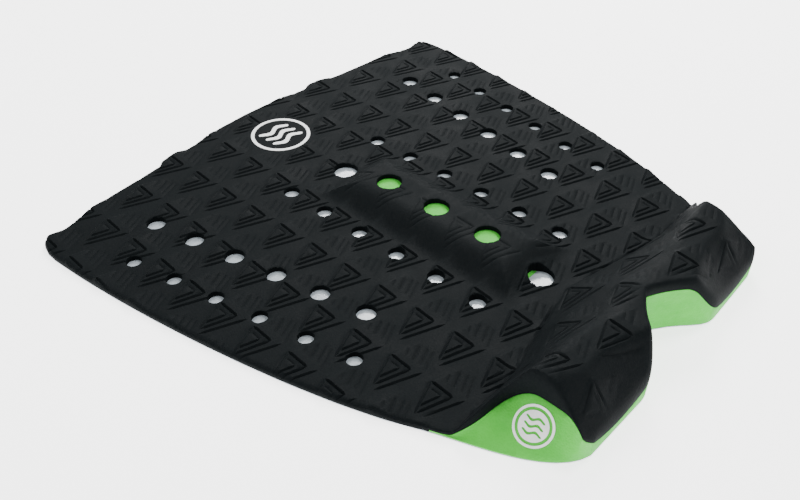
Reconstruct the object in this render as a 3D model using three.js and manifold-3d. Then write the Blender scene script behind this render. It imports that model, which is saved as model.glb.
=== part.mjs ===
// A surfboard traction pad in one piece: a moulded and punched EVA foam deck with an arch bar
// down its middle and a swallow-tailed kick at its back, two firmer foam cores under it, an
// adhesive film, a release liner and transfer badges.
// Millimetres. +X is the rider's right, +Y the nose, +Z up. The origin is on the underside of
// the liner, under the middle of the pad.
import * as THREE from 'three';
import { mergeVertices } from 'three/addons/utils/BufferGeometryUtils.js';
import Module from 'manifold-3d';

// ---------------------------------------------------------------- driving dimensions
const NOSE_Y = 154.9;
const REAR_Y = -149.8;
const HALF_WIDTH = 154.6;
const LINER_THICKNESS = 0.3;
const FILM_THICKNESS = 0.3;
const FOAM_THICKNESS = 3;
const GAP = 0.35; // glue line between two foam parts, measured upwards

const SIDE_FRONT_Y = 121.6; // where the side turns into the front corner
// The front edge from its corner to the nose: an ear at the corner, then a flat-topped tab.
const FRONT_EDGE = [
  [154.3, 128], [152.6, 134], [149.4, 137.4], [145.5, 138.5], [139.5, 137.3], [134.5, 138.3],
  [119, 143.1], [100, 144.7], [69.5, 147.6], [66.5, 150.9], [55.5, 153.1], [52.3, 152.4],
  [49, 150.3], [42, 151], [28, 154], [0, NOSE_Y],
];
const WAIST = { x: 109.8, y: -89.8 }; // where the side meets the kick
const SHEET_CORNER = { x: 78.9, y: -146.2 }; // the sheet's outer tail corner
const SHEET_SIDE_X = 76.9; // the sheet's narrowest half width beside the kick
const TAIL_CORNER = { x: 73.2, y: -148.9 };
const REAR_INNER_X = 34; // where the straight rear edge turns into the notch
const NOTCH_APEX_Y = -127.6;
const EDGE_BEVEL = 2;

const KICK_CREST = 24; // top of the kick's core above the liner's underside
const KICK_CREST_DROP = 4.9; // how much lower the core's crest is at the sheet's side edge
const RAMP_START_Y = -99.5;
const REAR_SLOPE = Math.tan(THREE.MathUtils.degToRad(50));
const REAR_EDGE_THICKNESS = 3.2;
const REAR_LIP_RISE = { inner: 5, outer: 5.5 }; // how the rear edge curls up beside a lobe's middle
const LOBE_CENTRE_X = 55;
const LOBE_HALF_WIDTH = 24.4;
// The sheet's own roof over the kick: it stands higher above the core towards the sides.
const ROOF = {
  footY: -88, footSweep: 16.5, footX: 75, footPower: 1.2, footEndY: -101,
  slope: 0.75, sideSlope: 1.05, steepestX: 85,
  crest: 29.6, sideRise: 2.6, sideStart: 58, sideX: 77, rearClearance: 5.5,
  sideCrestY: -120.3, sideFall: 0.104, sideFallPower: 1.58, blend: 3,
};
const KICK_SHEET = { thickness: 3, sideThickness: 1 };
const KICK_TOE_Y = -92;
const KICK_TOE_THICKNESS = 1;
const FLANK_FOOT_THICKNESS = 0.6;
const FLANK_EDGE_RISE = 0.15; // the flank leaves the core's top cleanly just above it
const ROOF_FRONT_Y = -84; // where the roof has come down to the deck
const BLEND = 5; // softness of the creases where two slopes meet

const ARCH = { front: 54, back: -67.5, halfWidth: 22, topHalfWidth: 11, height: 8.4 };

const CENTRE_HOLES = { x: 0, y: 63.9, dx: 0, dy: -34.15, count: 5, radius: 6.75 };
const SIDE_HOLE_ROWS = [
  { x: 35.4, y: 71.6, dx: 0, dy: -26.4, count: 6, radius: 4.3 },
  { x: 103.2, y: 104.8, dx: -5.26, dy: -26.05, count: 6, radius: 5 },
  { x: 129.4, y: 87.7, dx: -5.44, dy: -25.95, count: 6, radius: 3.9 },
];

const HOLE_SIDES = 12;

const BADGE_THICKNESS = 0.5;
const FRONT_BADGE = { y: 119.8, radius: 18, ringWidth: 2 };
const FRONT_WAVE = { halfLength: 10.5, width: 3.1, pitch: 6.4, amplitude: 1.5 };
const KICK_BADGE = {
  x: 84.6, y: -126.8, z: 11, station: 3, reach: 6, radius: 9, ringWidth: 1.1, discRadius: 6.6,
};
const KICK_WAVE = { halfLength: 4.4, width: 1.2, pitch: 2.9, amplitude: 0.6 };

// ---------------------------------------------------------------- levels worked out from them
const FILM_Z = LINER_THICKNESS;
const FOAM_Z = FILM_Z + FILM_THICKNESS;
const DECK_Z = FOAM_Z + FOAM_THICKNESS;
const ARCH_SLOPE = ARCH.height / (ARCH.halfWidth - ARCH.topHalfWidth);
const ABOVE_ALL = 60;

// ---------------------------------------------------------------- solids
const wasm = await Module();
wasm.setup();

function toSolid(geometry) {
  geometry.deleteAttribute('normal');
  geometry.deleteAttribute('uv');
  const merged = mergeVertices(geometry, 1e-5);
  return new wasm.Manifold(new wasm.Mesh({
    numProp: 3,
    vertProperties: new Float32Array(merged.attributes.position.array),
    triVerts: new Uint32Array(merged.index.array),
  }));
}

function toMesh(name, solid, material) {
  const { vertProperties, triVerts } = solid.getMesh();
  const geometry = new THREE.BufferGeometry();
  geometry.setAttribute('position', new THREE.BufferAttribute(vertProperties, 3));
  geometry.setIndex(new THREE.BufferAttribute(triVerts, 1));
  geometry.computeVertexNormals();
  const mesh = new THREE.Mesh(geometry, material);
  mesh.name = name;
  return mesh;
}

function indexedSolid(positions, index) {
  const geometry = new THREE.BufferGeometry();
  geometry.setAttribute('position', new THREE.Float32BufferAttribute(positions, 3));
  geometry.setIndex(index);
  return toSolid(geometry);
}

// A prism on an outline, between two levels along Z, or along another frame's Z.
function prism(outline, bottom, top, frame = new THREE.Matrix4()) {
  const shape = outline instanceof THREE.Shape ? outline : new THREE.Shape(outline);
  const geometry = new THREE.ExtrudeGeometry(shape, { depth: top - bottom, bevelEnabled: false });
  geometry.translate(0, 0, bottom);
  geometry.applyMatrix4(frame);
  return toSolid(geometry);
}

// A closed body from closed rings with equal counts of points, each ring running anticlockwise
// as seen from the next one.
function loft(rings) {
  const sides = rings[0].length;
  const positions = rings.flat().flatMap((point) => point.toArray());
  const index = [];
  for (let i = 0; i < rings.length - 1; i += 1) {
    for (let j = 0; j < sides; j += 1) {
      const a = i * sides + j;
      const b = i * sides + (j + 1) % sides;
      index.push(a, b, b + sides, a, b + sides, a + sides);
    }
  }
  const last = (rings.length - 1) * sides;
  for (let j = 1; j < sides - 1; j += 1) {
    index.push(0, j + 1, j);
    index.push(last, last + j, last + j + 1);
  }
  return indexedSolid(positions, index);
}

// The space under a height field, down to a flat bottom, over a grid of lines in X and Y.
function underSurface(bottom, height, xs, ys) {
  const count = xs.length;
  const positions = ys.flatMap((y) => [
    ...xs.flatMap((x) => [x, y, height(x, y)]),
    ...xs.flatMap((x) => [x, y, bottom]),
  ]);
  const top = (row, i) => row * 2 * count + i;
  const low = (row, i) => top(row, i) + count;
  const index = [];
  const quad = (a, b, c, d) => index.push(a, b, c, a, c, d);
  const lastRow = ys.length - 1;
  for (let row = 0; row < lastRow; row += 1) {
    for (let i = 0; i < count - 1; i += 1) {
      quad(top(row, i), top(row, i + 1), top(row + 1, i + 1), top(row + 1, i));
      quad(low(row, i), low(row + 1, i), low(row + 1, i + 1), low(row, i + 1));
    }
    quad(top(row, 0), top(row + 1, 0), low(row + 1, 0), low(row, 0));
    quad(top(row + 1, count - 1), top(row, count - 1), low(row, count - 1),
      low(row + 1, count - 1));
  }
  for (let i = 0; i < count - 1; i += 1) {
    quad(top(0, i + 1), top(0, i), low(0, i), low(0, i + 1));
    quad(top(lastRow, i), top(lastRow, i + 1), low(lastRow, i + 1), low(lastRow, i));
  }
  return indexedSolid(positions, index);
}

function evenly(from, to, steps) {
  return Array.from({ length: steps + 1 }, (_, i) => from + (to - from) * i / steps);
}

const mirrored = (points) => points.map((p) => new THREE.Vector2(-p.x, p.y)).reverse();

function bezier(a, b, c, d, steps) {
  const point = ([x, y]) => new THREE.Vector2(x, y);
  return new THREE.CubicBezierCurve(point(a), point(b), point(c), point(d)).getPoints(steps);
}

// ---------------------------------------------------------------- plan outlines
// Each half outline runs from the notch's apex round the right side to the nose.
const waist = [WAIST.x, WAIST.y];

const notchSide = bezier([0, NOTCH_APEX_Y], [20.7, -136.9], [22.9, -149.9],
  [REAR_INNER_X, REAR_Y], 7);
const tailSide = bezier([TAIL_CORNER.x, TAIL_CORNER.y], [93.4, -143.8], [101.8, -109.2], waist, 12);
const padSide = [
  ...bezier(waist, [132.2, -44.2], [151.6, 59.3], [HALF_WIDTH, SIDE_FRONT_Y], 9),
  ...FRONT_EDGE.map(([x, y]) => new THREE.Vector2(x, y)),
];

// At each side of the kick the sheet is cut back, and the core's flank shows below the cut.
const sheetSideAt = [SHEET_SIDE_X, -127.6];
const sheetBite = [
  ...bezier([SHEET_CORNER.x, SHEET_CORNER.y], [77.6, -141], [SHEET_SIDE_X, -137], sheetSideAt, 3),
  ...bezier(sheetSideAt, [76.1, -94.7], [100.4, -122], waist, 9).slice(1),
];
const underSheetCorner = tailSide.filter((point) => point.x < SHEET_CORNER.x);
const besideFlank = tailSide.filter((point) => point.x >= SHEET_CORNER.x);

function fullOutline(half) {
  return [...half, ...mirrored(half.slice(1, -1))];
}

const baseOutline = fullOutline([...notchSide, ...tailSide, ...padSide.slice(1)]);
const sheetOutline = fullOutline([...notchSide, ...underSheetCorner, ...sheetBite,
  ...padSide.slice(1)]);

// ---------------------------------------------------------------- heights
function softMin(a, b, blend = BLEND) {
  return Math.min(a, b) - Math.max(blend - Math.abs(a - b), 0) ** 2 / (4 * blend);
}
const softMax = (a, b) => -softMin(-a, -b);

function rearHeight(x, y) {
  const fromLobe = (Math.abs(x) - LOBE_CENTRE_X) / LOBE_HALF_WIDTH;
  const lip = fromLobe < 0 ? REAR_LIP_RISE.inner : REAR_LIP_RISE.outer;
  return REAR_EDGE_THICKNESS + (y - REAR_Y) * REAR_SLOPE + lip * fromLobe ** 2;
}

// The kick's core with a thickness laid on it: a ramp, a crest and a rear face.
function kickHeight(x, y, thickness) {
  const ramp = RAMP_START_Y - y + thickness * Math.SQRT2;
  const crest = KICK_CREST - KICK_CREST_DROP * (Math.abs(x) / SHEET_CORNER.x) ** 4 - FOAM_Z
    + thickness;
  const rear = rearHeight(x, y) + thickness * Math.hypot(1, REAR_SLOPE);
  return FOAM_Z + softMin(softMin(ramp, crest), rear);
}

const atSide = (x) => THREE.MathUtils.smoothstep(Math.abs(x), ROOF.sideStart, ROOF.sideX);

// The sheet's roof: its ramp starts further back and climbs more steeply towards the sides,
// and its crest rises there.
function roofHeight(x, y) {
  const side = atSide(x);
  const swept = ROOF.footY - ROOF.footSweep * (Math.abs(x) / ROOF.footX) ** ROOF.footPower;
  const footY = Math.max(swept, ROOF.footEndY);
  const slope = ROOF.slope
    + ROOF.sideSlope * (Math.min(Math.abs(x), ROOF.steepestX) / ROOF.sideX) ** 2;
  const ramp = DECK_Z + slope * (footY - y);
  const crest = ROOF.crest + ROOF.sideRise * side;
  const rear = THREE.MathUtils.lerp(
    FOAM_Z + rearHeight(x, y) + ROOF.rearClearance,
    crest - ROOF.sideFall * Math.max(ROOF.sideCrestY - y, 0) ** ROOF.sideFallPower,
    side,
  );
  return softMin(softMin(ramp, crest, ROOF.blend), rear, ROOF.blend);
}

function kickSheetTop(x, y) {
  const { thickness, sideThickness } = KICK_SHEET;
  const laid = kickHeight(x, y, THREE.MathUtils.lerp(thickness, sideThickness, atSide(x)));
  return softMax(DECK_Z, Math.max(laid, roofHeight(x, y)));
}
const kickCoreTop = (x, y) => Math.max(kickHeight(x, y, 0), FOAM_Z + KICK_TOE_THICKNESS);
const kickPocketTop = (x, y) => kickCoreTop(x, y) + GAP;

const KICK_GRID_X = evenly(-112, 112, 32);
const kickGridY = (front) => [...evenly(-155, -95, 12), front];

// ---------------------------------------------------------------- the flank of the kick
// The flank is the ruled surface between the base outline and the sheet's cut edge. Its
// stations run from the tail corner to the waist.
const FLANK_STATIONS = 12;
const flankFoot = new THREE.CatmullRomCurve3(besideFlank.map((p) => new THREE.Vector3(p.x, p.y, 0)));
const flankEdge = new THREE.CatmullRomCurve3(sheetBite.map((p) => new THREE.Vector3(p.x, p.y, 0)));

function flankStations(side) {
  return evenly(0, 1, FLANK_STATIONS).map((t) => {
    const foot = flankFoot.getPointAt(t).setZ(FOAM_Z + FLANK_FOOT_THICKNESS);
    const edge = flankEdge.getPointAt(t);
    edge.z = kickCoreTop(edge.x, edge.y) + FLANK_EDGE_RISE;
    const outward = new THREE.Vector3(side, t - 1, 0).normalize();
    return { foot: foot.setX(side * foot.x), edge: edge.setX(side * edge.x), outward };
  });
}

function loftOn(side, rings) {
  return loft(side > 0 ? rings : rings.slice().reverse());
}

// Everything outside the flank, with the flank moved by a vector.
function outsideFlank(side, move) {
  return loftOn(side, flankStations(side).map(({ foot, edge, outward }) => {
    const beyond = foot.clone().addScaledVector(outward, 30);
    return [foot, edge, edge.clone().setZ(ABOVE_ALL), beyond.clone().setZ(ABOVE_ALL), beyond]
      .map((point) => point.clone().add(move));
  }));
}

// A thin skin lying over the flank, for the badge to be cut from.
function flankSkin(side, normal) {
  return outsideFlank(side, normal.clone().multiplyScalar(GAP))
    .subtract(outsideFlank(side, normal.clone().multiplyScalar(GAP + BADGE_THICKNESS)));
}

// ---------------------------------------------------------------- foam parts
function holes() {
  const cutters = [];
  for (const row of [CENTRE_HOLES, ...SIDE_HOLE_ROWS]) {
    for (const side of row.x === 0 ? [1] : [1, -1]) {
      for (let i = 0; i < row.count; i += 1) {
        const cutter = new THREE.CylinderGeometry(row.radius, row.radius, ABOVE_ALL, HOLE_SIDES);
        cutter.rotateX(Math.PI / 2);
        cutter.translate(side * (row.x + row.dx * i), row.y + row.dy * i, 0);
        cutters.push(toSolid(cutter));
      }
    }
  }
  return cutters;
}

// The arch bar: a low hipped bar, grown by the same amount on every face.
function archBar(grow) {
  const spread = grow * (Math.hypot(1, ARCH_SLOPE) - 1) / ARCH_SLOPE;
  return loft([0, ARCH.height].map((rise) => {
    const inset = rise / ARCH_SLOPE - (grow + spread);
    const x = ARCH.halfWidth - inset;
    const [back, front] = [ARCH.back + inset, ARCH.front - inset];
    const z = FOAM_Z + (rise > 0 ? rise + grow : 0);
    return [[-x, back], [x, back], [x, front], [-x, front]]
      .map(([px, py]) => new THREE.Vector3(px, py, z));
  }));
}

function kickCore() {
  let solid = prism(baseOutline, FOAM_Z, ABOVE_ALL)
    .intersect(underSurface(-1, kickCoreTop, KICK_GRID_X, kickGridY(KICK_TOE_Y)));
  for (const side of [1, -1]) {
    solid = solid.subtract(outsideFlank(side, new THREE.Vector3()));
  }
  return solid;
}

// The flat part of the sheet, with its outer edge bevelled. It ends inside the kick.
function deckSlab() {
  const inKick = [[0, -105], [95, -105]].map(([x, y]) => new THREE.Vector2(x, y));
  const geometry = new THREE.ExtrudeGeometry(new THREE.Shape(fullOutline([...inKick, ...padSide])), {
    depth: FOAM_THICKNESS,
    bevelThickness: EDGE_BEVEL,
    bevelSize: EDGE_BEVEL,
    bevelOffset: -EDGE_BEVEL,
    bevelSegments: 1,
  });
  geometry.translate(0, 0, DECK_Z - EDGE_BEVEL - FOAM_THICKNESS);
  return toSolid(geometry).intersect(prism(baseOutline, FOAM_Z, ABOVE_ALL));
}

function deckSheet() {
  const kick = prism(sheetOutline, FOAM_Z, ABOVE_ALL)
    .intersect(underSurface(-1, kickSheetTop, KICK_GRID_X, [...kickGridY(KICK_TOE_Y), ROOF_FRONT_Y]));
  let solid = deckSlab().add(kick).add(archBar(FOAM_THICKNESS))
    .subtract(underSurface(-1, kickPocketTop, KICK_GRID_X, kickGridY(KICK_TOE_Y + GAP)))
    .subtract(archBar(GAP));
  for (const hole of holes()) {
    solid = solid.subtract(hole);
  }
  return solid;
}

// ---------------------------------------------------------------- badges
// The mark is a ring round three waves, one above the other.
function wave({ halfLength, width, amplitude }, centreY) {
  const steps = 12;
  const edge = (offset) => evenly(-halfLength, halfLength, steps).map((x) => new THREE.Vector2(
    x,
    centreY + offset + amplitude * Math.sin(1.5 * Math.PI * x / halfLength),
  ));
  return [...edge(-width / 2), ...edge(width / 2).reverse()];
}

const waves = (sizes) => [1, 0, -1].map((row) => wave(sizes, row * sizes.pitch));

function circle(radius, steps) {
  return evenly(0, 2 * Math.PI, steps).slice(0, -1)
    .map((angle) => new THREE.Vector2(radius * Math.cos(angle), radius * Math.sin(angle)));
}

function pierced(outline, cutouts) {
  const shape = new THREE.Shape(outline);
  shape.holes = cutouts.map((cutout) => new THREE.Path(cutout));
  return shape;
}

const ringShape = (radius, width, steps) => pierced(circle(radius, steps),
  [circle(radius - width, steps)]);

// ---------------------------------------------------------------- the assembly
const material = (color, roughness) => new THREE.MeshStandardMaterial({
  color, roughness, metalness: 0,
});
const linerPaper = material(0xc9ced3, 0.5);
const adhesive = material(0xe6e9ea, 0.35);
const deckFoam = material(0x1b2022, 0.9);
const coreFoam = material(0x70be60, 0.85);
const badgeFilm = material(0xf1f4f2, 0.45);

const pad = new THREE.Group();
pad.add(toMesh('release_liner', prism(baseOutline, 0, FILM_Z), linerPaper));
pad.add(toMesh('adhesive_film', prism(baseOutline, FILM_Z, FOAM_Z), adhesive));
pad.add(toMesh('arch_core', archBar(0), coreFoam));
pad.add(toMesh('kick_core', kickCore(), coreFoam));
pad.add(toMesh('deck_sheet', deckSheet(), deckFoam));

function frontBadge() {
  const group = new THREE.Group();
  group.position.set(0, FRONT_BADGE.y, DECK_Z);
  const addFlat = (name, shape) => group.add(
    toMesh(name, prism(shape, 0, BADGE_THICKNESS), badgeFilm));
  addFlat('front_badge_ring', ringShape(FRONT_BADGE.radius, FRONT_BADGE.ringWidth, 36));
  waves(FRONT_WAVE).forEach((outline, i) => addFlat(`front_badge_wave_${i + 1}`, outline));
  return group;
}

// The badge on a flank follows the flank's twist.
function kickBadge(side, name) {
  const [tailward, noseward] = flankStations(side).slice(KICK_BADGE.station);
  const along = noseward.foot.clone().sub(tailward.foot);
  const up = tailward.edge.clone().add(noseward.edge).sub(tailward.foot).sub(noseward.foot);
  const normal = along.cross(up).multiplyScalar(side).normalize();
  const right = new THREE.Vector3(0, 0, 1).cross(normal).normalize();
  const frame = new THREE.Matrix4().makeBasis(right, normal.clone().cross(right), normal);
  frame.setPosition(side * KICK_BADGE.x, KICK_BADGE.y, KICK_BADGE.z);
  const skin = flankSkin(side, normal);
  const cut = (shape) => prism(shape, -KICK_BADGE.reach, KICK_BADGE.reach, frame).intersect(skin);
  const disc = pierced(circle(KICK_BADGE.discRadius, 24), waves(KICK_WAVE));
  return [
    toMesh(`kick_badge_ring_${name}`,
      cut(ringShape(KICK_BADGE.radius, KICK_BADGE.ringWidth, 30)), badgeFilm),
    toMesh(`kick_badge_disc_${name}`, cut(disc), badgeFilm),
  ];
}

pad.add(frontBadge(), ...kickBadge(-1, 'left'), ...kickBadge(1, 'right'));

export default pad;
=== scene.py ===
"""A moulded foam traction pad: punched deck sheet with an arch bar and a swallow-tailed kick,
foam cores, adhesive film, release liner and badges. Lengths in the code are millimetres."""
import math

import bpy
import numpy as np
from mathutils import Matrix, Vector, kdtree
from mathutils.bvhtree import BVHTree
from mathutils.geometry import delaunay_2d_cdt


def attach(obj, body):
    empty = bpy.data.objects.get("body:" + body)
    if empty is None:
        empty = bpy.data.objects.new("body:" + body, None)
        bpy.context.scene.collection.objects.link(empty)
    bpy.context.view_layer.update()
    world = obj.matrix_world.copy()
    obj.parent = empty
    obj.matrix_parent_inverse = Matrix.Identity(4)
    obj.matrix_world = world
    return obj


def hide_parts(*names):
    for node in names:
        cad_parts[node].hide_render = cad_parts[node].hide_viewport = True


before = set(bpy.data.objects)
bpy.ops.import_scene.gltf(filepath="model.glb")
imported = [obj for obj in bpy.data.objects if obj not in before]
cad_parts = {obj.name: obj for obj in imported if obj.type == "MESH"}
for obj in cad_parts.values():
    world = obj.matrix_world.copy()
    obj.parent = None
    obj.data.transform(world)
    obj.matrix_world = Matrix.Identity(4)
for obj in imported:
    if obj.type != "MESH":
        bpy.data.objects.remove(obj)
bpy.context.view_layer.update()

MM = 0.001

# ---------------------------------------------------------------- dimensions
# The CAD's own, except that hole radii are 0.1 to 0.15 larger, badge films are thinner, the arch
# and the laid sheet blend more softly, and the kick's foot blends less softly.
FILM_TOP = 0.6
FOAM = 3.0
DECK_TOP = FILM_TOP + FOAM
GAP = 0.35
REAR_Y = -149.8
WAIST = (109.8, -89.8)
SHEET_CORNER = (78.9, -146.2)
SHEET_SIDE = (76.9, -127.6)
TAIL_CORNER = (73.2, -148.9)
REAR_INNER = (34.0, REAR_Y)
NOTCH_APEX = (0.0, -127.6)
SIDE_FRONT = (154.6, 121.6)
FRONT_EDGE = [
    (154.3, 128.0), (152.6, 134.0), (149.4, 137.4), (145.5, 138.5), (139.5, 137.3),
    (134.5, 138.3), (119.0, 143.1), (100.0, 144.7), (69.5, 147.6), (66.5, 150.9),
    (55.5, 153.1), (52.3, 152.4), (49.0, 150.3), (42.0, 151.0), (28.0, 154.0), (0.0, 154.9),
]
KICK_CREST, KICK_CREST_DROP = 24.0, 4.9
RAMP_START_Y = -99.5
REAR_SLOPE = math.tan(math.radians(50))
REAR_EDGE_THICKNESS, REAR_LIP_INNER, REAR_LIP_OUTER = 3.2, 5.0, 5.5
LOBE_X, LOBE_HALF_WIDTH = 55.0, 24.4
ROOF_FOOT_Y, ROOF_FOOT_SWEEP, ROOF_FOOT_X, ROOF_FOOT_POWER = -88.0, 16.5, 75.0, 1.2
ROOF_FOOT_END_Y = -101.0
ROOF_SLOPE, ROOF_SIDE_SLOPE, ROOF_STEEPEST_X = 0.75, 1.05, 85.0
ROOF_CREST, ROOF_SIDE_RISE, ROOF_SIDE_START, ROOF_SIDE_X = 29.6, 2.6, 58.0, 77.0
ROOF_REAR_CLEARANCE, ROOF_SIDE_CREST_Y = 5.5, -120.3
ROOF_SIDE_FALL, ROOF_SIDE_FALL_POWER = 0.104, 1.58
ROOF_BLEND = 3.0
KICK_SHEET, KICK_SHEET_SIDE = 3.0, 1.0
TOE_Y, TOE_THICKNESS, FLANK_FOOT_THICKNESS = -92.0, 1.0, 0.6
BLEND, LAID_BLEND, FOOT_BLEND = 5.0, 1.5, 3.0
ARCH_FRONT, ARCH_BACK, ARCH_HALF, ARCH_TOP_HALF, ARCH_HEIGHT = 54.0, -67.5, 22.0, 11.0, 8.4
ARCH_TOP_BLEND, ARCH_FOOT_BLEND = 8.0, 6.0
HOLE_ROWS = [  # x, y, step in x, step in y, count, radius
    (0.0, 63.9, 0.0, -34.15, 5, 6.9),
    (35.4, 71.6, 0.0, -26.4, 6, 4.4),
    (103.2, 104.8, -5.26, -26.05, 6, 5.1),
    (129.4, 87.7, -5.44, -25.95, 6, 4.0),
]
BADGE_CENTRE, BADGE_RADIUS, BADGE_RING = (0.0, 119.8), 18.0, 2.0
KICK_BADGE_AT = (84.6, -126.8, 11.0)
KICK_RING_OUTER, KICK_RING_INNER, KICK_DISC_RADIUS = 9.0, 7.9, 6.6
NOSE_WAVE_PITCH, NOSE_WAVE = 6.4, (10.5, 3.1, 1.5)  # half length, width, amplitude
KICK_WAVE_PITCH, KICK_WAVE = 2.9, (4.4, 1.2, 0.6)
NOSE_FILM, KICK_FILM = 0.3, 0.25

# ---------------------------------------------------------------- camera
FORWARD = Vector((0.5692, 0.5048, -0.649)).normalized()
CAMERA_AT = Vector((-285.6, -231.8, 292.5)) * MM
ROLL = 0.00647
LENS_MM, SENSOR_MM = 38.7225, 36.0


def make_camera():
    """A camera at the viewing angle, looking along FORWARD with a slight roll."""
    right = FORWARD.cross(Vector((0, 0, 1))).normalized()
    up = right.cross(FORWARD)
    c, s = math.cos(ROLL), math.sin(ROLL)
    x, y = right * c + up * s, up * c - right * s
    data = bpy.data.cameras.new("camera")
    data.sensor_width = SENSOR_MM
    data.lens = LENS_MM
    data.clip_start = 0.01
    ob = bpy.data.objects.new("camera", data)
    ob.matrix_world = Matrix((
        (x.x, y.x, -FORWARD.x, CAMERA_AT.x),
        (x.y, y.y, -FORWARD.y, CAMERA_AT.y),
        (x.z, y.z, -FORWARD.z, CAMERA_AT.z),
        (0, 0, 0, 1)))
    bpy.context.scene.collection.objects.link(ob)
    bpy.context.scene.camera = ob


make_camera()


# ---------------------------------------------------------------- plan curves
def bezier(a, b, c, d, count):
    t = np.linspace(0, 1, count)[:, None]
    a, b, c, d = map(np.array, (a, b, c, d))
    return (1 - t) ** 3 * a + 3 * (1 - t) ** 2 * t * b + 3 * (1 - t) * t ** 2 * c + t ** 3 * d


def lengths(points):
    return np.concatenate([[0], np.cumsum(np.hypot(*np.diff(points, axis=0)[:, :2].T))])


def at_fractions(points, fractions):
    run = lengths(points)
    return np.stack([np.interp(np.asarray(fractions) * run[-1], run, points[:, i])
                     for i in range(points.shape[1])], 1)


def spaced(points, step):
    return at_fractions(points, np.linspace(0, 1, max(2, round(lengths(points)[-1] / step) + 1)))


def rounded(points, step, cut=0.8):
    """A polyline with its corners cut twice, so that they turn softly."""
    points = np.array(points, float)
    for _ in range(2):
        out = [points[0]]
        for a, b in zip(points[:-1], points[1:]):
            reach = min(cut / max(np.hypot(*(b - a)), 1e-6), 0.3)
            out += [a + (b - a) * reach, b - (b - a) * reach]
        points = np.array(out[:1] + out[2:-1] + [points[-1]])
        cut *= 0.5
    return spaced(points, step)


STEP = 1.7
notch_side = spaced(bezier(NOTCH_APEX, (20.7, -136.9), (22.9, -149.9), REAR_INNER, 60), STEP)
rear_side = spaced(np.array([REAR_INNER, TAIL_CORNER]), STEP)
tail_side = bezier(TAIL_CORNER, (93.4, -143.8), (101.8, -109.2), WAIST, 200)
pad_side = spaced(bezier(WAIST, (132.2, -44.2), (151.6, 59.3), SIDE_FRONT, 120), STEP)
front_edge = rounded([SIDE_FRONT] + FRONT_EDGE, 1.2)
bite = spaced(np.concatenate([
    bezier(SHEET_CORNER, (77.6, -141), (76.9, -137), SHEET_SIDE, 40),
    bezier(SHEET_SIDE, (76.1, -94.7), (100.4, -122), WAIST, 120)[1:]]), 1.4)
under_corner = spaced(np.concatenate([
    tail_side[tail_side[:, 0] < SHEET_CORNER[0]], [SHEET_CORNER]]), STEP)
flank_foot_line = tail_side[tail_side[:, 0] >= 82.4]


def closed(*parts):
    """The whole outline, anticlockwise, from its right half's parts."""
    half = np.concatenate([parts[0]] + [part[1:] for part in parts[1:]])
    keep = np.concatenate([[True], np.hypot(*np.diff(half, axis=0).T) > 0.05])
    half = half[keep]
    return np.concatenate([half, (half * (-1, 1))[::-1][1:-1]])


sheet_outline = closed(notch_side, rear_side, under_corner, bite, pad_side, front_edge)
core_outline = closed(notch_side, rear_side, spaced(tail_side, STEP), pad_side, front_edge)


# ---------------------------------------------------------------- heights
def soft_min(a, b, blend=BLEND):
    return np.minimum(a, b) - np.maximum(blend - np.abs(a - b), 0) ** 2 / (4 * blend)


def soft_max(a, b, blend=BLEND):
    return -soft_min(-a, -b, blend)


def rear_height(x, y):
    from_lobe = (np.abs(x) - LOBE_X) / LOBE_HALF_WIDTH
    lip = np.where(from_lobe < 0, REAR_LIP_INNER, REAR_LIP_OUTER)
    return REAR_EDGE_THICKNESS + (y - REAR_Y) * REAR_SLOPE + lip * from_lobe ** 2


def kick_height(x, y, thickness):
    """The core's ramp, crest and rear face, with a thickness laid on them."""
    ramp = RAMP_START_Y - y + thickness * math.sqrt(2)
    crest = (KICK_CREST - KICK_CREST_DROP * (np.abs(x) / SHEET_CORNER[0]) ** 4
             - FILM_TOP + thickness)
    rear = rear_height(x, y) + thickness * math.hypot(1, REAR_SLOPE)
    return FILM_TOP + soft_min(soft_min(ramp, crest), rear)


def at_side(x):
    t = np.clip((np.abs(x) - ROOF_SIDE_START) / (ROOF_SIDE_X - ROOF_SIDE_START), 0, 1)
    return t * t * (3 - 2 * t)


def roof_height(x, y):
    """The sheet's roof over the kick, whose ramp climbs more steeply towards the sides."""
    side = at_side(x)
    foot = foot_line(x)
    steep = (np.minimum(np.abs(x), ROOF_STEEPEST_X) / ROOF_SIDE_X) ** 2
    ramp = DECK_TOP + (ROOF_SLOPE + ROOF_SIDE_SLOPE * steep) * (foot - y)
    crest = ROOF_CREST + ROOF_SIDE_RISE * side
    rear = ((1 - side) * (FILM_TOP + rear_height(x, y) + ROOF_REAR_CLEARANCE)
            + side * (crest - ROOF_SIDE_FALL
                      * np.maximum(ROOF_SIDE_CREST_Y - y, 0) ** ROOF_SIDE_FALL_POWER))
    return soft_min(soft_min(ramp, crest, ROOF_BLEND), rear, ROOF_BLEND)


def arch_height(x, y, grow, blend):
    slope = ARCH_HEIGHT / (ARCH_HALF - ARCH_TOP_HALF)
    spread = grow + grow * (math.hypot(1, slope) - 1) / slope
    inside = np.minimum(ARCH_HALF + spread - np.abs(x),
                        np.minimum(ARCH_FRONT + spread - y, y - ARCH_BACK + spread))
    face = inside * (ARCH_HEIGHT + grow) / (ARCH_HALF - ARCH_TOP_HALF)
    top = np.full_like(face, ARCH_HEIGHT + grow)
    return FILM_TOP + (soft_min(face, top, blend) if blend else np.minimum(face, top))


def core_top(x, y):
    return np.maximum(kick_height(x, y, 0.0), FILM_TOP + TOE_THICKNESS)


def smooth_top(x, y):
    deck = np.full_like(x, DECK_TOP)
    laid = kick_height(x, y, KICK_SHEET + (KICK_SHEET_SIDE - KICK_SHEET) * at_side(x))
    kick = soft_max(deck, soft_max(laid, roof_height(x, y), LAID_BLEND), FOOT_BLEND)
    return soft_max(kick, arch_height(x, y, FOAM, ARCH_TOP_BLEND), ARCH_FOOT_BLEND)


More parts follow.
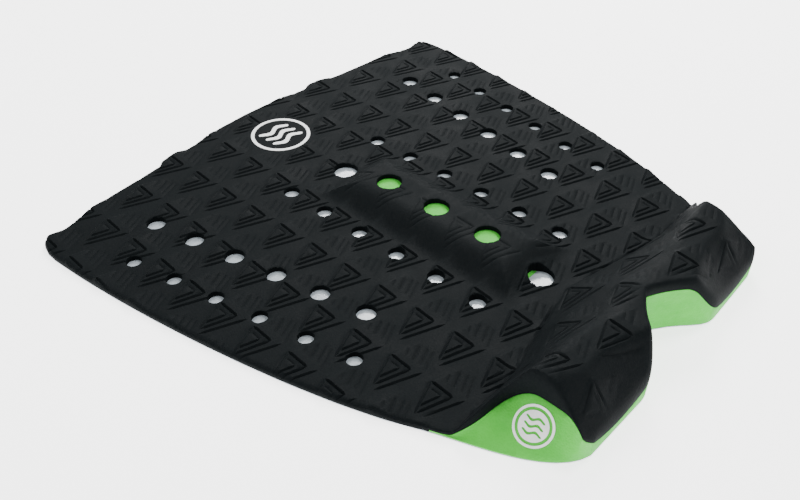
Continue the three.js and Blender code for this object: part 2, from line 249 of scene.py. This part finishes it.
def sheet_under(x, y):
    pocket = np.where(y < TOE_Y + GAP, core_top(x, y) + GAP, FILM_TOP)
    return np.maximum(pocket, arch_height(x, y, GAP, 0))


# ---------------------------------------------------------------- the moulded relief
# Nested triangles on a staggered grid. A motif's lower corner is its origin; its triangle
# runs to TOP straight ahead of it and to LEFT, and a facet slopes away on its right.
COLUMN_PITCH, ROW_PITCH = 30.0, 23.9
EVEN_TOP, ODD_TOP, STROKE_HEIGHT = -42.0, -29.8, 11.6
PEAK_RISE, PEAK_REACH, PEAK_FALL = 1.5, 17.0, 2.4
LOWER_SLOPES, UPPER_SLOPES = (-0.357, 0.4), (0.29, -0.27)  # left and right of the corner
MOTIF_LEFT, MOTIF_RIGHT = (-17.0, 6.4), (17.0, 6.9)
BADGE_MARGIN, BADGE_FADE = 0.5, 3.0
CREASE_START_X, CREASE_RAMP_X = 8.0, 10.0
ARCH_FADE, CREASE_DEPTH, CREASE_HALF_WIDTH = 0.5, 1.0, 1.2
RELIEF_DEPTH = 0.9
STROKES = [  # from, to, half width, depth; from the motif's lower corner
    ((0.0, -0.4), (0.0, 12.2), 0.95, 1.23),
    ((0.3, -0.1), (-17.2, 6.2), 0.9, 0.85),
    ((-0.4, 12.2), (-18.0, 6.4), 0.8, 0.72),
    ((2.4, -5.3), (-20.2, 4.4), 0.9, 0.91),
    ((2.4, -5.3), (16.6, 0.4), 1.2, 0.45),
    ((-3.0, 4.1), (-13.6, 7.6), 0.8, 0.78),
    ((-3.0, 4.1), (-3.0, 9.6), 0.7, 0.45),
    ((4.0, -1.4), (16.2, 3.4), 1.2, 0.52),
    ((4.0, 2.6), (14.6, 6.8), 1.1, 0.45),
    ((4.2, 6.6), (12.0, 9.8), 1.0, 0.39),
]
POINTED = 0.14


def motif_corners():
    corners = []
    for column in range(-5, 6):
        first = EVEN_TOP if column % 2 == 0 else ODD_TOP
        for row in range(-5, 9):
            y = first + ROW_PITCH * row - STROKE_HEIGHT
            x = COLUMN_PITCH * column
            if abs(x) < 165 and -165 < y < 160:
                corners.append((x, y))
    return np.array(corners)


CORNERS = motif_corners()


def peak_height(dx, dy):
    """The two facets that rise to the motif's top corner, and the step beyond them."""
    left = dx < 0
    lower = np.where(left, *LOWER_SLOPES) * dx
    upper = STROKE_HEIGHT + np.where(left, *UPPER_SLOPES) * dx
    taper = np.clip(1 - np.abs(dx) / PEAK_REACH, 0, 1)
    along = np.clip((dy - lower) / np.maximum(upper - lower, 0.5), 0, 1)
    beyond = np.clip(1 - (dy - upper) / PEAK_FALL, 0, 1)
    return PEAK_RISE * taper * along * beyond


def relief(x, y):
    """Facets less strokes, faded out round the nose badge and partly on the arch bar."""
    height = np.zeros_like(x)
    groove = np.zeros_like(x)
    for cx, cy in CORNERS:
        near = np.where((np.abs(x - cx) < 24) & (np.abs(y - cy - 4) < 16))[0]
        if not len(near):
            continue
        dx, dy = x[near] - cx, y[near] - cy
        height[near] = np.maximum(height[near], peak_height(dx, dy))
        for start, end, half, depth in STROKES:
            start, end = np.array(start), np.array(end)
            run = end - start
            length = np.hypot(*run)
            ux, uy = run / length
            t = ((dx - start[0]) * ux + (dy - start[1]) * uy) / length
            away = np.abs((dx - start[0]) * uy - (dy - start[1]) * ux)
            fade = np.clip(np.minimum(t, 1 - t) / POINTED, 0, 1)
            deep = depth * fade * np.clip(1 - away / np.maximum(half * fade, 1e-3), 0, 1)
            groove[near] = np.maximum(groove[near], deep)
    from_badge = np.hypot(x - BADGE_CENTRE[0], y - BADGE_CENTRE[1]) - BADGE_RADIUS
    on_arch = np.clip((arch_height(x, y, FOAM, ARCH_TOP_BLEND) - DECK_TOP) / 3.0, 0, 1)
    return ((height - RELIEF_DEPTH * groove)
            * np.clip((from_badge - BADGE_MARGIN) / BADGE_FADE, 0, 1)
            * (1 - ARCH_FADE * on_arch))


def foot_line(x):
    """Where the kick's ramp leaves the deck."""
    swept = ROOF_FOOT_Y - ROOF_FOOT_SWEEP * (np.abs(x) / ROOF_FOOT_X) ** ROOF_FOOT_POWER
    return np.maximum(swept, ROOF_FOOT_END_Y)


def crease(x, y):
    """The sharp fold along the foot of the kick's ramp."""
    away = np.abs(y - foot_line(x))
    return (CREASE_DEPTH * np.clip(1 - away / CREASE_HALF_WIDTH, 0, 1)
            * np.clip((np.abs(x) - CREASE_START_X) / CREASE_RAMP_X, 0, 1))


def stroke_lines():
    """Each stroke's rim and bottom, and each facet's creases, as polylines in plan."""
    lines = []
    for cx, cy in CORNERS:
        at = np.array((cx, cy))
        for start, end, half, _ in STROKES:
            start, end = np.array(start) + at, np.array(end) + at
            run = end - start
            side = np.array((-run[1], run[0])) / np.hypot(*run) * half
            a, b = start + run * POINTED, end - run * POINTED
            lines += [np.array((start, a + side, b + side, end)),
                      np.array((start, a - side, b - side, end)),
                      np.array((start, a, b, end))]
        top, left, right = at + (0, STROKE_HEIGHT), at + MOTIF_LEFT, at + MOTIF_RIGHT
        lines += [np.array((left, top, right)), np.array((left, at, right))]
        step = np.array((0, PEAK_FALL))
        lines.append(np.array((left + step, top + step, right + step)))
    return lines


# ---------------------------------------------------------------- meshes from a plan
BATCH = 2000


def inside(points, loop):
    x, y = points[:, 0], points[:, 1]
    hit = np.zeros(len(points), bool)
    x0, y0 = loop[:, 0], loop[:, 1]
    x1, y1 = np.roll(x0, -1), np.roll(y0, -1)
    for a, b, c, d in zip(x0, y0, x1, y1):
        if b == d:
            continue
        crosses = (b > y) != (d > y)
        hit ^= crosses & (x < (c - a) * (y - b) / (d - b) + a)
    return hit


def edge_distance(points, loop, widths):
    """Distance to a closed loop, and the loop's rounding width at the nearest place.
    The points go through in batches, to hold the memory down."""
    a, b = loop, np.roll(loop, -1, 0)
    wa, wb = widths, np.roll(widths, -1)
    run = b - a
    square = (run ** 2).sum(1)
    best = np.empty(len(points))
    width = np.empty(len(points))
    for k in range(0, len(points), BATCH):
        p = points[k:k + BATCH, None, :]
        t = np.clip(((p - a) * run).sum(2) / square, 0, 1)
        d = np.hypot(*np.moveaxis(p - a - run * t[..., None], 2, 0))
        i = d.argmin(1)
        rows = np.arange(len(i))
        best[k:k + BATCH] = d[rows, i]
        width[k:k + BATCH] = wa[i] + (wb[i] - wa[i]) * t[rows, i]
    return best, width


def offset(loop, amounts):
    """The loop moved inwards by an amount at each point."""
    tangent = np.roll(loop, -1, 0) - np.roll(loop, 1, 0)
    tangent /= np.hypot(*tangent.T)[:, None]
    return loop + np.stack([-tangent[:, 1], tangent[:, 0]], 1) * np.asarray(amounts)[:, None]


def circle(x, y, radius, count):
    angle = np.linspace(0, 2 * math.pi, count, endpoint=False)
    return np.stack([x + radius * np.cos(angle), y + radius * np.sin(angle)], 1)


def hex_grid(x0, y0, x1, y1, pitch):
    rows = np.arange(y0, y1, pitch * 0.866)
    return np.concatenate([
        np.stack([np.arange(x0 + (i % 2) * pitch / 2, x1, pitch),
                  np.full(len(np.arange(x0 + (i % 2) * pitch / 2, x1, pitch)), y)], 1)
        for i, y in enumerate(rows)])


def triangulate(loops, lines, fill, clearance, longest=3.0):
    """A constrained triangulation: points, triangles."""
    points, edges = [], []

    def add(chain, is_closed):
        pieces = []
        ends = list(zip(chain, np.roll(chain, -1, 0))) if is_closed \
            else list(zip(chain[:-1], chain[1:]))
        for a, b in ends:
            cuts = max(1, math.ceil(np.hypot(*(b - a)) / longest))
            pieces += [a + (b - a) * i / cuts for i in range(cuts)]
        if not is_closed:
            pieces.append(chain[-1])
        first = len(points)
        points.extend(pieces)
        count = len(pieces)
        edges.extend((first + i, first + i + 1) for i in range(count - 1))
        if is_closed:
            edges.append((first + count - 1, first))

    for loop in loops:
        add(loop, True)
    for line in lines:
        add(line, False)
    tree = kdtree.KDTree(len(points))
    for i, p in enumerate(points):
        tree.insert((p[0], p[1], 0), i)
    tree.balance()
    for p in fill:
        if tree.find((p[0], p[1], 0))[2] > clearance:
            points.append(p)
    out = delaunay_2d_cdt([Vector((float(p[0]), float(p[1]))) for p in points], edges, [],
                          0, 1e-4, False)
    return np.array([tuple(v) for v in out[0]]), np.array([tuple(f) for f in out[2]])


def make_object(name, vertices, faces, sharp=36):
    mesh = bpy.data.meshes.new(name)
    mesh.from_pydata((np.asarray(vertices) * MM).tolist(), [], [list(f) for f in faces])
    mesh.validate()
    mesh.update()
    mesh.shade_smooth()
    mesh.set_sharp_from_angle(angle=math.radians(sharp))
    ob = bpy.data.objects.new(name, mesh)
    bpy.context.scene.collection.objects.link(ob)
    return ob


def slab(name, plan, triangles, top, under, sharp=36):
    """A closed body between two height fields over one triangulated plan."""
    used = np.unique(triangles)
    index = np.full(len(plan), -1)
    index[used] = np.arange(len(used))
    plan, triangles = plan[used], index[triangles]
    a, b, c = (plan[triangles[:, i]] for i in range(3))
    turn = (b - a)[:, 0] * (c - a)[:, 1] - (b - a)[:, 1] * (c - a)[:, 0]
    triangles = triangles[np.abs(turn) > 1e-7]
    turn = turn[np.abs(turn) > 1e-7]
    triangles[turn < 0] = triangles[turn < 0][:, ::-1]
    x, y = plan.T
    count = len(plan)
    upper, lower = top(x, y), under(x, y)
    lower = np.minimum(lower, upper - 0.05)
    vertices = np.concatenate([np.stack([x, y, upper], 1), np.stack([x, y, lower], 1)])
    directed = {}
    for t in triangles:
        for i in range(3):
            directed[(t[i], t[(i + 1) % 3])] = True
    rim = [(p, q) for p, q in directed if (q, p) not in directed]
    faces = [tuple(t) for t in triangles] + [tuple(t[::-1] + count) for t in triangles]
    faces += [(q, p, p + count, q + count) for p, q in rim]
    return make_object(name, vertices, faces, sharp)


# ---------------------------------------------------------------- deck sheet
EDGE_THICKNESS, SIDE_ROUNDING = 1.1, 2.4
SIDE_FROM_Y, SIDE_TO_Y, SIDE_FADE_IN, SIDE_FADE_OUT = -92.0, 130.0, 12.0, 10.0
KICK_FROM_Y, KICK_ROUNDING, THIN_EDGE = -92.0, 0.8, 2.5
LEAST_ROUNDING, FLANK_ROUNDING, MOST_ROUNDING = 1.6, 2.5, 6.5
INNER_X, INNER_FADE = 74.0, 8.0
ROUNDING_STEPS = (0.06, 0.2, 0.5, 1.0)
SMOOTH_REACH = 4
HOLE_RIM, HOLE_RIM_DROP = 0.6, 0.5
CALM_FROM_Y, CALM_MARGIN, CALM_FADE = -84.0, 3.0, 4.0  # the relief fades at the kick's edge
DECK_PITCH, KICK_PITCH, ARCH_PITCH = 3.3, 1.9, 2.0


def rounding_widths(loop):
    """How far in the rounded edge reaches: wide on the sides and the notch, tight elsewhere."""
    y = loop[:, 1]
    side = (SIDE_ROUNDING * np.clip((y - SIDE_FROM_Y) / SIDE_FADE_IN, 0, 1)
            * np.clip((SIDE_TO_Y - y) / SIDE_FADE_OUT, 0, 1))
    height = smooth_top(loop[:, 0], y) - sheet_under(loop[:, 0], y)
    inner = np.clip((INNER_X - np.abs(loop[:, 0])) / INNER_FADE, 0, 1)
    wide = np.clip(KICK_ROUNDING * (height - THIN_EDGE), LEAST_ROUNDING, MOST_ROUNDING)
    kick = np.minimum(wide, FLANK_ROUNDING) + inner * np.maximum(wide - FLANK_ROUNDING, 0)
    widths = np.maximum(np.maximum(side, np.where(y < KICK_FROM_Y, kick, 0)), LEAST_ROUNDING)
    around = np.concatenate([widths[-SMOOTH_REACH:], widths, widths[:SMOOTH_REACH]])
    window = 2 * SMOOTH_REACH + 1
    return np.convolve(around, np.full(window, 1 / window), "valid")


def punched_holes():
    """Every hole's x, y and radius; rows off the centreline are mirrored."""
    return [(side * (x + dx * i), y + dy * i, radius)
            for x, y, dx, dy, count, radius in HOLE_ROWS
            for side in ((1, -1) if x else (1,))
            for i in range(count)]


def arch_rectangles():
    """The foot and the top of the arch's pocket, in plan."""
    slope = ARCH_HEIGHT / (ARCH_HALF - ARCH_TOP_HALF)
    spread = GAP + GAP * (math.hypot(1, slope) - 1) / slope
    corners = []
    for inset in (-spread, ARCH_HALF - ARCH_TOP_HALF - spread):
        x0, y0, y1 = ARCH_HALF - inset, ARCH_BACK + inset, ARCH_FRONT - inset
        corners.append(np.array(((-x0, y0), (x0, y0), (x0, y1), (-x0, y1))))
    return corners


def deck_sheet():
    """The punched black sheet, with its relief, laid over the deck, the arch and the kick."""
    widths = rounding_widths(sheet_outline)
    loops = [sheet_outline] + [offset(sheet_outline, widths * f) for f in ROUNDING_STEPS]
    holes = punched_holes()
    for x, y, radius in holes:
        sides = 40 if radius > 5 else 28
        loops += [circle(x, y, radius + grow, sides) for grow in (0, 0.3 * HOLE_RIM, HOLE_RIM)]
    lines = stroke_lines()
    across = np.linspace(-98, 98, 66)
    lines += [np.stack([across, foot_line(across) + s * CREASE_HALF_WIDTH], 1) for s in (-1, 0, 1)]
    toe = TOE_Y + GAP
    lines += [np.array(((-112.0, toe + s), (112.0, toe + s))) for s in (-0.05, 0.1)]
    pocket = arch_rectangles()
    loops += pocket
    lines += [np.array((a, b)) for a, b in zip(*pocket)]
    fill = np.concatenate([
        hex_grid(-160, -76, 160, 156, DECK_PITCH),
        hex_grid(-116, -152, 116, -76, KICK_PITCH),
        hex_grid(-38, -76, 38, 70, ARCH_PITCH)])
    fill = fill[inside(fill, sheet_outline)]
    plan, triangles = triangulate(loops, lines, fill, 0.8)
    middle = plan[triangles].mean(1)
    keep = inside(middle, sheet_outline)
    for x, y, radius in holes:
        keep &= np.hypot(middle[:, 0] - x, middle[:, 1] - y) > radius * 0.985
    triangles = triangles[keep]

    def top(x, y):
        from_edge, width = edge_distance(np.stack([x, y], 1), sheet_outline, widths)
        calm = np.where(y < CALM_FROM_Y, np.clip((from_edge - CALM_MARGIN) / CALM_FADE, 0, 1), 1)
        z = smooth_top(x, y) + relief(x, y) * calm - crease(x, y)
        run = np.clip(1 - from_edge / width, 0, 1)
        drop = np.maximum(z - sheet_under(x, y) - EDGE_THICKNESS, 0)
        z -= drop * (1 - np.sqrt(1 - run ** 2))
        for hx, hy, radius in holes:
            run = np.clip(1 - (np.hypot(x - hx, y - hy) - radius) / HOLE_RIM, 0, 1)
            z -= HOLE_RIM_DROP * (1 - np.sqrt(1 - run ** 2))
        return z

    return slab("deck_foam_sheet", plan, triangles, top, sheet_under)


# ---------------------------------------------------------------- foam cores
FLANK_SAG, SAG_START, SAG_SPAN = 1.5, 0.6, 0.3
COVERED_MARGIN, FLANK_FROM_X, ABOVE = 0.03, 78.0, 90.0


def flank_grid(side, stations=60, rows=10):
    """The kick's flank: ruled between the outline's foot and the sheet's cut edge, and hollower
    towards the waist."""
    t = np.linspace(0, 1, stations)
    foot, edge = at_fractions(flank_foot_line, t), at_fractions(bite, t)
    foot_z = np.full(stations, FILM_TOP + FLANK_FOOT_THICKNESS)
    edge_z = core_top(edge[:, 0], edge[:, 1])
    sag = 1 + FLANK_SAG * np.clip((t - SAG_START) / SAG_SPAN, 0, 1)
    v = np.linspace(0, 1, rows)[None, :, None]
    low = np.column_stack([foot, foot_z])[:, None, :]
    high = np.column_stack([edge, edge_z])[:, None, :]
    grid = low + (high - low) * v
    grid[..., 2] = low[..., 2] + (high - low)[..., 2] * v[..., 0] ** sag[:, None]
    grid[..., 0] *= side
    return grid


def surface_tree(grid):
    stations, rows = grid.shape[:2]
    faces = [(i * rows + j, (i + 1) * rows + j, (i + 1) * rows + j + 1, i * rows + j + 1)
             for i in range(stations - 1) for j in range(rows - 1)]
    return BVHTree.FromPolygons([tuple(p) for p in grid.reshape(-1, 3)], faces)


FLANKS = {side: flank_grid(side) for side in (-1, 1)}
FLANK_TREES = {side: surface_tree(grid) for side, grid in FLANKS.items()}


def kick_core():
    """The green foam under the kick, bare on its flanks, in the notch and along the rear."""
    toe = np.array(((-115.0, TOE_Y), (115.0, TOE_Y)))
    lines = [toe]
    for side in (-1, 1):
        grid = FLANKS[side][..., :2]
        lines += [grid[i] for i in range(0, len(grid), 2)]
        lines += [grid[:, j] for j in range(grid.shape[1])]
        lines.append(bite * (side, 1))
    fill = hex_grid(-112, -152, 112, -90, 2.6)
    fill = fill[inside(fill, core_outline)]
    plan, triangles = triangulate([core_outline], lines, fill, 0.9)
    middle = plan[triangles].mean(1)
    triangles = triangles[inside(middle, core_outline) & (middle[:, 1] < TOE_Y)]

    def top(x, y):
        z = core_top(x, y)
        covered = inside(np.stack([x, y], 1), sheet_outline)
        near_cut, _ = edge_distance(np.stack([x, y], 1), sheet_outline, np.zeros(len(sheet_outline)))
        bare = ~covered & (near_cut > COVERED_MARGIN) & (np.abs(x) > FLANK_FROM_X)
        for i in np.where(bare)[0]:
            tree = FLANK_TREES[1 if x[i] > 0 else -1]
            hit = tree.ray_cast(Vector((x[i], y[i], ABOVE)), Vector((0, 0, -1)))[0]
            z[i] = hit.z if hit else FILM_TOP + FLANK_FOOT_THICKNESS
        return z

    return slab("kick_foam_core", plan, triangles, top,
                lambda x, y: np.full_like(x, FILM_TOP), sharp=48)


def arch_core():
    """The green foam under the arch bar, with a bevelled rim."""
    half, top = ARCH_HALF, ARCH_TOP_HALF
    inset = half - top
    low = np.array(((-half, ARCH_BACK), (half, ARCH_BACK), (half, ARCH_FRONT),
                    (-half, ARCH_FRONT)))
    high = np.array(((-top, ARCH_BACK + inset), (top, ARCH_BACK + inset),
                     (top, ARCH_FRONT - inset), (-top, ARCH_FRONT - inset)))
    fill = hex_grid(-half, ARCH_BACK, half, ARCH_FRONT, 3.0)
    fill = fill[inside(fill, low)]
    plan, triangles = triangulate([low, high], [np.array((a, b)) for a, b in zip(low, high)],
                                  fill, 0.8)
    triangles = triangles[inside(plan[triangles].mean(1), low)]
    return slab("arch_foam_core", plan, triangles,
                lambda x, y: np.maximum(arch_height(x, y, 0, 1.2), FILM_TOP + 0.06),
                lambda x, y: np.full_like(x, FILM_TOP))


# ---------------------------------------------------------------- badges
def wave_outline(centre_y, half_length, width, amplitude, steps=28):
    """A wavy bar with rounded ends."""
    x = np.linspace(-half_length, half_length, steps)
    y = centre_y + amplitude * np.sin(1.5 * math.pi * x / half_length)
    taper = np.sqrt(np.clip(1 - (x / half_length) ** 8, 0.03, 1))
    lower = np.stack([x, y - width / 2 * taper], 1)
    upper = np.stack([x, y + width / 2 * taper], 1)
    return np.concatenate([lower, upper[::-1]])


def film_piece(name, outer, cutouts, place, thickness, pitch):
    """A thin transfer: a plan shape laid on a surface. place(x, y, lift) gives points."""
    fill = hex_grid(*outer.min(0), *outer.max(0), pitch)
    fill = fill[inside(fill, outer)]
    plan, triangles = triangulate([outer] + cutouts, [], fill, pitch * 0.4, pitch)
    middle = plan[triangles].mean(1)
    keep = inside(middle, outer)
    for hole in cutouts:
        keep &= ~inside(middle, hole)
    ob = slab(name, plan, triangles[keep], lambda x, y: np.full_like(x, thickness),
              lambda x, y: np.zeros_like(x), sharp=50)
    for vertex in ob.data.vertices:
        x, y, lift = vertex.co / MM
        vertex.co = Vector(place(x, y, lift)) * MM
    ob.data.update()
    return ob


def front_badge():
    """A ring and three wavy bars, flat on the nose of the sheet."""
    def place(x, y, lift):
        return (x + BADGE_CENTRE[0], y + BADGE_CENTRE[1], DECK_TOP + 0.01 + lift)

    pieces = [film_piece("nose_badge_ring", circle(0, 0, BADGE_RADIUS, 96),
                         [circle(0, 0, BADGE_RADIUS - BADGE_RING, 96)], place, NOSE_FILM, 2.0)]
    for i, row in enumerate((1, 0, -1)):
        outline = wave_outline(NOSE_WAVE_PITCH * row, *NOSE_WAVE)
        pieces.append(film_piece(f"nose_badge_wave_{i + 1}", outline, [], place, NOSE_FILM, 1.5))
    return pieces


def kick_badge(side, name):
    """A ring and a pierced disc that follow the flank's curved face."""
    centre = Vector((side * KICK_BADGE_AT[0], KICK_BADGE_AT[1], KICK_BADGE_AT[2]))
    tree = FLANK_TREES[side]
    at, normal, _, _ = tree.find_nearest(centre)
    if normal.x * side < 0:
        normal = -normal
    right = Vector((0, 0, 1)).cross(normal).normalized()
    up = normal.cross(right)

    def place(x, y, lift):
        start = at + right * x + up * y + normal * 12
        hit = tree.ray_cast(start, -normal)[0]
        return (hit or at + right * x + up * y) + normal * (0.02 + lift)

    ring = film_piece(f"kick_badge_ring_{name}_film", circle(0, 0, KICK_RING_OUTER, 72),
                      [circle(0, 0, KICK_RING_INNER, 72)], place, KICK_FILM, 1.2)
    waves = [wave_outline(KICK_WAVE_PITCH * row, *KICK_WAVE) for row in (1, 0, -1)]
    disc = film_piece(f"kick_badge_disc_{name}_film", circle(0, 0, KICK_DISC_RADIUS, 64), waves,
                      place, KICK_FILM, 1.0)
    return ring, disc


# ---------------------------------------------------------------- materials
class Nodes:
    """A material with a Principled shader, and short ways to add the nodes that feed it."""

    def __init__(self, name):
        self.material = bpy.data.materials.new(name)
        self.material.use_nodes = True
        self.tree = self.material.node_tree
        self.shader = self.tree.nodes["Principled BSDF"]
        self.where = self.add("ShaderNodeTexCoord").outputs["Object"]

    def add(self, kind, **settings):
        node = self.tree.nodes.new(kind)
        for key, value in settings.items():
            setattr(node, key, value)
        return node

    def link(self, a, b):
        self.tree.links.new(a, b)

    def set(self, **values):
        for key, value in values.items():
            self.shader.inputs[key.replace("_", " ")].default_value = value

    def noise(self, scale, detail=3.0, roughness=0.5, stretch=None):
        node = self.add("ShaderNodeTexNoise")
        node.inputs["Scale"].default_value = scale
        node.inputs["Detail"].default_value = detail
        node.inputs["Roughness"].default_value = roughness
        self.link(self.stretched(stretch), node.inputs["Vector"])
        return node.outputs["Fac"]

    def stretched(self, stretch):
        if not stretch:
            return self.where
        node = self.add("ShaderNodeMapping")
        node.inputs["Scale"].default_value = stretch
        self.link(self.where, node.inputs["Vector"])
        return node.outputs["Vector"]

    def cells(self, scale):
        node = self.add("ShaderNodeTexVoronoi")
        node.inputs["Scale"].default_value = scale
        self.link(self.where, node.inputs["Vector"])
        return node.outputs["Distance"]

    def ramp(self, source, stops):
        """A colour ramp with two stops, each a position and a colour."""
        node = self.add("ShaderNodeValToRGB")
        for element, (position, colour) in zip(node.color_ramp.elements, stops):
            element.position = position
            element.color = (*colour, 1)
        self.link(source, node.inputs["Fac"])
        return node.outputs["Color"]

    def span(self, source, a, b, c, d):
        node = self.add("ShaderNodeMapRange")
        for key, value in zip(("From Min", "From Max", "To Min", "To Max"), (a, b, c, d)):
            node.inputs[key].default_value = value
        self.link(source, node.inputs["Value"])
        return node.outputs["Result"]

    def mix(self, factor, base, colour):
        node = self.add("ShaderNodeMix", data_type="RGBA")
        self.link(factor, node.inputs["Factor"])
        self.link(base, node.inputs["A"])
        node.inputs["B"].default_value = (*colour, 1)
        return node.outputs["Result"]

    def bumps(self, *layers):
        """Bump layers, each a height source, its strength and its depth in metres."""
        normal = None
        for source, strength, depth in layers:
            node = self.add("ShaderNodeBump")
            node.inputs["Strength"].default_value = strength
            node.inputs["Distance"].default_value = depth
            self.link(source, node.inputs["Height"])
            if normal:
                self.link(normal, node.inputs["Normal"])
            normal = node.outputs["Normal"]
        self.link(normal, self.shader.inputs["Normal"])


def black_foam():
    m = Nodes("black_eva_foam")
    mottled = m.noise(55, 4, 0.6)
    fine = m.noise(900, 2, 0.6)
    base = m.ramp(mottled, [(0.3, (0.0014, 0.0027, 0.0034)), (0.7, (0.0036, 0.0052, 0.0059))])
    m.link(m.mix(m.span(fine, 0.35, 0.7, 0.0, 0.5), base, (0.0060, 0.0073, 0.0076)),
           m.shader.inputs["Base Color"])
    m.link(m.span(mottled, 0.3, 0.7, 0.6, 0.74), m.shader.inputs["Roughness"])
    m.set(Specular_IOR_Level=0.35, IOR=1.17)
    m.bumps((m.cells(1500), 0.25, 0.00025), (fine, 0.2, 0.0003), (m.noise(160, 3), 0.12, 0.0006))
    return m.material


def green_foam():
    m = Nodes("green_eva_foam")
    mottled = m.noise(70, 4, 0.6)
    pores = m.cells(1100)
    base = m.ramp(mottled, [(0.3, (0.045, 0.42, 0.026)), (0.7, (0.07, 0.50, 0.042))])
    m.link(m.mix(m.span(pores, 0.0, 0.5, 0.28, 0.0), base, (0.035, 0.31, 0.02)),
           m.shader.inputs["Base Color"])
    m.link(m.span(m.noise(300), 0.3, 0.7, 0.6, 0.8), m.shader.inputs["Roughness"])
    m.set(Specular_IOR_Level=0.3, Sheen_Weight=0.1)
    m.bumps((pores, 0.35, 0.0003), (m.noise(90, 3, 0.5, (1, 1, 3)), 0.2, 0.0008))
    return m.material


def badge_white():
    m = Nodes("white_transfer_film")
    worn = m.noise(260, 4, 0.65)
    m.link(m.ramp(worn, [(0.25, (0.72, 0.73, 0.72)), (0.6, (0.86, 0.87, 0.86))]),
           m.shader.inputs["Base Color"])
    m.link(m.span(worn, 0.3, 0.7, 0.34, 0.5), m.shader.inputs["Roughness"])
    m.set(Specular_IOR_Level=0.5)
    m.bumps((m.noise(1200, 2), 0.12, 0.0002))
    return m.material


def liner_paper():
    m = Nodes("coated_release_paper")
    fibre = m.noise(420, 5, 0.65, (1, 2.2, 1))
    m.link(m.ramp(fibre, [(0.3, (0.30, 0.34, 0.37)), (0.7, (0.40, 0.44, 0.47))]),
           m.shader.inputs["Base Color"])
    m.link(m.span(fibre, 0.3, 0.7, 0.38, 0.55), m.shader.inputs["Roughness"])
    m.set(Specular_IOR_Level=0.5)
    m.bumps((fibre, 0.15, 0.0002), (m.noise(30, 2), 0.1, 0.001))
    return m.material


def adhesive_film():
    m = Nodes("acrylic_adhesive_film")
    streak = m.noise(180, 4, 0.6, (0.35, 3, 1))
    m.link(m.ramp(streak, [(0.3, (0.30, 0.34, 0.37)), (0.7, (0.38, 0.42, 0.45))]),
           m.shader.inputs["Base Color"])
    m.link(m.span(streak, 0.3, 0.7, 0.14, 0.3), m.shader.inputs["Roughness"])
    m.set(Specular_IOR_Level=0.5, Coat_Weight=0.3, Coat_Roughness=0.12)
    m.bumps((streak, 0.1, 0.0002))
    return m.material


BLACK, GREEN, WHITE = black_foam(), green_foam(), badge_white()


def dress(ob, material, node):
    """Give a piece of the pad its material and slot, and let it stand for its CAD node."""
    ob.data.materials.append(material)
    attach(ob, "pad")
    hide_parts(node)


# ---------------------------------------------------------------- the assembly
sheet = deck_sheet()
dress(sheet, BLACK, "deck_sheet")
core = kick_core()
dress(core, GREEN, "kick_core")
arch = arch_core()
dress(arch, GREEN, "arch_core")

nose_nodes = ["front_badge_ring", "front_badge_wave_1", "front_badge_wave_2",
              "front_badge_wave_3"]
for piece, node in zip(front_badge(), nose_nodes):
    dress(piece, WHITE, node)
for side, name in ((-1, "left"), (1, "right")):
    ring, disc = kick_badge(side, name)
    dress(ring, WHITE, f"kick_badge_ring_{name}")
    dress(disc, WHITE, f"kick_badge_disc_{name}")

for node, material in (("release_liner", liner_paper()), ("adhesive_film", adhesive_film())):
    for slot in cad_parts[node].material_slots:
        slot.link = "OBJECT"
        slot.material = material

# ---------------------------------------------------------------- floor and light
FLOOR_REACH = 30.0


def make_floor():
    mesh = bpy.data.meshes.new("floor")
    size = FLOOR_REACH
    mesh.from_pydata([(-size, -size, 0), (size, -size, 0), (size, size, 0), (-size, size, 0)],
                     [], [(0, 1, 2, 3)])
    ob = bpy.data.objects.new("floor", mesh)
    bpy.context.scene.collection.objects.link(ob)
    m = Nodes("pale_studio_floor")
    m.set(Base_Color=(0.9, 0.9, 0.9, 1), Roughness=0.9, Specular_IOR_Level=0.1,
          Emission_Color=(1, 1, 1, 1), Emission_Strength=2.6)
    mesh.materials.append(m.material)


def area_light(name, at, look, size, power):
    data = bpy.data.lights.new(name, "AREA")
    data.shape = "DISK"
    data.size = size
    data.energy = power
    ob = bpy.data.objects.new(name, data)
    ob.location = at
    ob.rotation_euler = (Vector(look) - Vector(at)).to_track_quat("-Z", "Y").to_euler()
    bpy.context.scene.collection.objects.link(ob)


make_floor()
area_light("key", (0.75, 0.55, 0.75), (0, 0, 0), 0.5, 17)
area_light("crest", (0.6, -0.15, 1.2), (0, -0.1, 0), 0.4, 14)
area_light("fill", (-0.8, 0.5, 1.1), (0, 0, 0), 0.8, 8)

world = bpy.data.worlds.new("studio")
world.use_nodes = True
background = world.node_tree.nodes["Background"]
background.inputs["Color"].default_value = (1, 1, 1, 1)
background.inputs["Strength"].default_value = 0.75
bpy.context.scene.world = world
